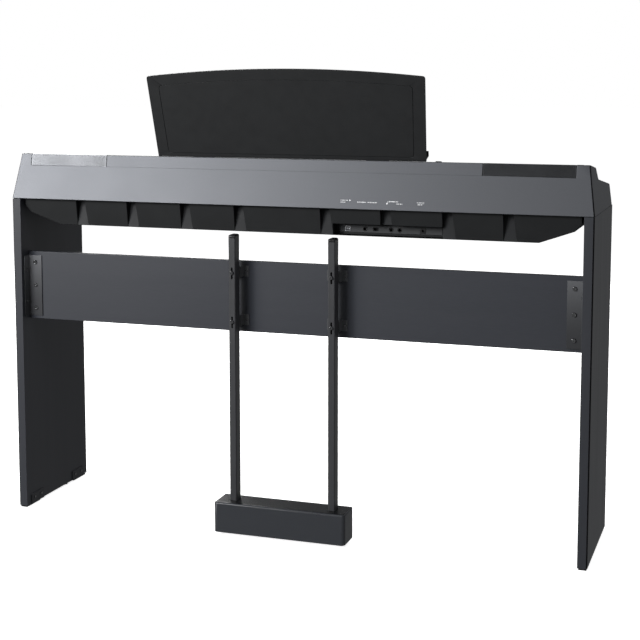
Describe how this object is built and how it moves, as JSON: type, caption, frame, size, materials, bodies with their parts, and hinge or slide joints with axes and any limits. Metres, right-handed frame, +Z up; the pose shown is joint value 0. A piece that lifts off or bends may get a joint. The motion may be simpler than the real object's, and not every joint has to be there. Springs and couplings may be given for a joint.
{
  "type": "digital piano on stand",
  "caption": "Slab digital piano on a two-panel stand with a back board, with a lift-out music rest and a three-pedal unit hung on two posts.",
  "frame": {"origin": "on the floor, under the middle of the bounding box", "axes": "+X along the keyboard towards the treble, +Y towards the back of the piano (the player sits at -Y), +Z up"},
  "size_m": [1.326, 0.326, 1.026],
  "materials": {
    "lower_case_plastic": "fine textured moulded black",
    "cover_satin": "satin charcoal",
    "slip_plastic": "satin black",
    "felt": "red felt",
    "circuit_board": "green laminate",
    "bare_steel": "plain steel",
    "socket_plastic": "moulded black",
    "speaker_black": "black paper and steel",
    "grille_mesh": "perforated, black paint",
    "rest_plastic": "matte black",
    "white_key": "satin ivory white",
    "black_key": "matte black",
    "button_grey": "soft grey",
    "panel_laminate": "black grained laminate on particle board",
    "black_steel": "black powder coat",
    "bolt_black": "black oxide",
    "post_steel": "satin black powder coat",
    "pedal_box_paint": "satin black paint",
    "cap_plastic": "black plastic",
    "pedal_brass": "polished",
    "glide_rubber": "black"
  },
  "bodies": {
    "frame": {"bottom_case": "lower_case_plastic", "key_frame": "lower_case_plastic", "jack_plate": "lower_case_plastic", "top_case": "cover_satin", "left_end_block": "cover_satin", "right_end_block": "cover_satin", "key_slip": "slip_plastic", "key_cushions": "felt", "contact_board": "circuit_board", "main_board": "circuit_board", "usb_socket": "bare_steel", "pedal_rod": "bare_steel", "pedal_springs": "bare_steel", "pedal_socket": "socket_plastic", "phone_jacks": "socket_plastic", "power_inlet": "socket_plastic", "headphone_jacks": "socket_plastic", "left_speaker": "speaker_black", "right_speaker": "speaker_black", "left_grille": "grille_mesh", "right_grille": "grille_mesh", "left_side_panel": "panel_laminate", "right_side_panel": "panel_laminate", "back_board": "panel_laminate", "left_bracket": "black_steel", "right_bracket": "black_steel", "corner_plates": "black_steel", "pedal_base_plate": "black_steel", "post_clips": "black_steel", "stand_bolts": "bolt_black", "case_screws": "bolt_black", "left_post": "post_steel", "right_post": "post_steel", "pedal_box": "pedal_box_paint", "post_caps": "cap_plastic", "floor_glides": "glide_rubber"},
    "white_keys": {"white_keys": "white_key"},
    "black_keys": {"black_keys": "black_key"},
    "key_c": {"key_c": "white_key"},
    "key_d": {"key_d": "white_key"},
    "key_e": {"key_e": "white_key"},
    "key_f": {"key_f": "white_key"},
    "key_g": {"key_g": "white_key"},
    "key_a": {"key_a": "white_key"},
    "key_b": {"key_b": "white_key"},
    "key_c_sharp": {"key_c_sharp": "black_key"},
    "key_d_sharp": {"key_d_sharp": "black_key"},
    "key_f_sharp": {"key_f_sharp": "black_key"},
    "key_g_sharp": {"key_g_sharp": "black_key"},
    "key_a_sharp": {"key_a_sharp": "black_key"},
    "power_button": {"power_button": "button_grey"},
    "metronome_button": {"metronome_button": "button_grey"},
    "rhythm_button": {"rhythm_button": "button_grey"},
    "record_button": {"record_button": "button_grey"},
    "play_button": {"play_button": "button_grey"},
    "volume_slider": {"volume_slider": "button_grey"},
    "music_rest": {"music_rest": "rest_plastic"},
    "soft_pedal": {"soft_pedal": "pedal_brass"},
    "sostenuto_pedal": {"sostenuto_pedal": "pedal_brass"},
    "damper_pedal": {"damper_pedal": "pedal_brass"}
  },
  "joints": [
    {"name": "key_c_hinge", "type": "hinge", "parent": "frame", "child": "key_c", "pos_m": [0, 0.037, 0.76], "axis": [1, 0, 0], "range_deg": [0, 3], "stiffness_Nm_per_rad": 1.5, "springref_deg": -6.88},
    {"name": "key_d_hinge", "type": "hinge", "parent": "frame", "child": "key_d", "pos_m": [0, 0.037, 0.76], "axis": [1, 0, 0], "range_deg": [0, 3], "stiffness_Nm_per_rad": 1.5, "springref_deg": -6.88},
    {"name": "key_e_hinge", "type": "hinge", "parent": "frame", "child": "key_e", "pos_m": [0, 0.037, 0.76], "axis": [1, 0, 0], "range_deg": [0, 3], "stiffness_Nm_per_rad": 1.5, "springref_deg": -6.88},
    {"name": "key_f_hinge", "type": "hinge", "parent": "frame", "child": "key_f", "pos_m": [0, 0.037, 0.76], "axis": [1, 0, 0], "range_deg": [0, 3], "stiffness_Nm_per_rad": 1.5, "springref_deg": -6.88},
    {"name": "key_g_hinge", "type": "hinge", "parent": "frame", "child": "key_g", "pos_m": [0, 0.037, 0.76], "axis": [1, 0, 0], "range_deg": [0, 3], "stiffness_Nm_per_rad": 1.5, "springref_deg": -6.88},
    {"name": "key_a_hinge", "type": "hinge", "parent": "frame", "child": "key_a", "pos_m": [0, 0.037, 0.76], "axis": [1, 0, 0], "range_deg": [0, 3], "stiffness_Nm_per_rad": 1.5, "springref_deg": -6.88},
    {"name": "key_b_hinge", "type": "hinge", "parent": "frame", "child": "key_b", "pos_m": [0, 0.037, 0.76], "axis": [1, 0, 0], "range_deg": [0, 3], "stiffness_Nm_per_rad": 1.5, "springref_deg": -6.88},
    {"name": "key_c_sharp_hinge", "type": "hinge", "parent": "frame", "child": "key_c_sharp", "pos_m": [0, 0.037, 0.76], "axis": [1, 0, 0], "range_deg": [0, 3], "stiffness_Nm_per_rad": 1.2, "springref_deg": -6.88},
    {"name": "key_d_sharp_hinge", "type": "hinge", "parent": "frame", "child": "key_d_sharp", "pos_m": [0, 0.037, 0.76], "axis": [1, 0, 0], "range_deg": [0, 3], "stiffness_Nm_per_rad": 1.2, "springref_deg": -6.88},
    {"name": "key_f_sharp_hinge", "type": "hinge", "parent": "frame", "child": "key_f_sharp", "pos_m": [0, 0.037, 0.76], "axis": [1, 0, 0], "range_deg": [0, 3], "stiffness_Nm_per_rad": 1.2, "springref_deg": -6.88},
    {"name": "key_g_sharp_hinge", "type": "hinge", "parent": "frame", "child": "key_g_sharp", "pos_m": [0, 0.037, 0.76], "axis": [1, 0, 0], "range_deg": [0, 3], "stiffness_Nm_per_rad": 1.2, "springref_deg": -6.88},
    {"name": "key_a_sharp_hinge", "type": "hinge", "parent": "frame", "child": "key_a_sharp", "pos_m": [0, 0.037, 0.76], "axis": [1, 0, 0], "range_deg": [0, 3], "stiffness_Nm_per_rad": 1.2, "springref_deg": -6.88},
    {"name": "white_keys_hinge", "type": "hinge", "parent": "frame", "child": "white_keys", "pos_m": [0, 0.037, 0.76], "axis": [1, 0, 0], "range_deg": [0, 3], "stiffness_Nm_per_rad": 67.5, "springref_deg": -6.88},
    {"name": "black_keys_hinge", "type": "hinge", "parent": "frame", "child": "black_keys", "pos_m": [0, 0.037, 0.76], "axis": [1, 0, 0], "range_deg": [0, 3], "stiffness_Nm_per_rad": 37.2, "springref_deg": -6.88},
    {"name": "power_button_press", "type": "slide", "parent": "frame", "child": "power_button", "axis": [0, -0.1322, 0.9912], "range_m": [-0.001, 0], "stiffness_N_per_m": 300, "springref_m": 0.002},
    {"name": "metronome_button_press", "type": "slide", "parent": "frame", "child": "metronome_button", "axis": [0, -0.1322, 0.9912], "range_m": [-0.001, 0], "stiffness_N_per_m": 300, "springref_m": 0.002},
    {"name": "rhythm_button_press", "type": "slide", "parent": "frame", "child": "rhythm_button", "axis": [0, -0.1322, 0.9912], "range_m": [-0.001, 0], "stiffness_N_per_m": 300, "springref_m": 0.002},
    {"name": "record_button_press", "type": "slide", "parent": "frame", "child": "record_button", "axis": [0, -0.1322, 0.9912], "range_m": [-0.001, 0], "stiffness_N_per_m": 300, "springref_m": 0.002},
    {"name": "play_button_press", "type": "slide", "parent": "frame", "child": "play_button", "axis": [0, -0.1322, 0.9912], "range_m": [-0.001, 0], "stiffness_N_per_m": 300, "springref_m": 0.002},
    {"name": "volume_slide", "type": "slide", "parent": "frame", "child": "volume_slider", "axis": [1, 0, 0], "range_m": [-0.02, 0.02]},
    {"name": "music_rest_lift", "type": "slide", "parent": "frame", "child": "music_rest", "axis": [0, 0.2419, 0.9703], "range_m": [0, 0.03]},
    {"name": "soft_pedal_hinge", "type": "hinge", "parent": "frame", "child": "soft_pedal", "pos_m": [-0.066, 0.145, 0.045], "axis": [1, 0, 0], "range_deg": [0, 6.5], "stiffness_Nm_per_rad": 15, "springref_deg": -4.58},
    {"name": "sostenuto_pedal_hinge", "type": "hinge", "parent": "frame", "child": "sostenuto_pedal", "pos_m": [0, 0.145, 0.045], "axis": [1, 0, 0], "range_deg": [0, 6.5], "stiffness_Nm_per_rad": 15, "springref_deg": -4.58},
    {"name": "damper_pedal_hinge", "type": "hinge", "parent": "frame", "child": "damper_pedal", "pos_m": [0.066, 0.145, 0.045], "axis": [1, 0, 0], "range_deg": [0, 6.5], "stiffness_Nm_per_rad": 15, "springref_deg": -4.58}
  ]
}
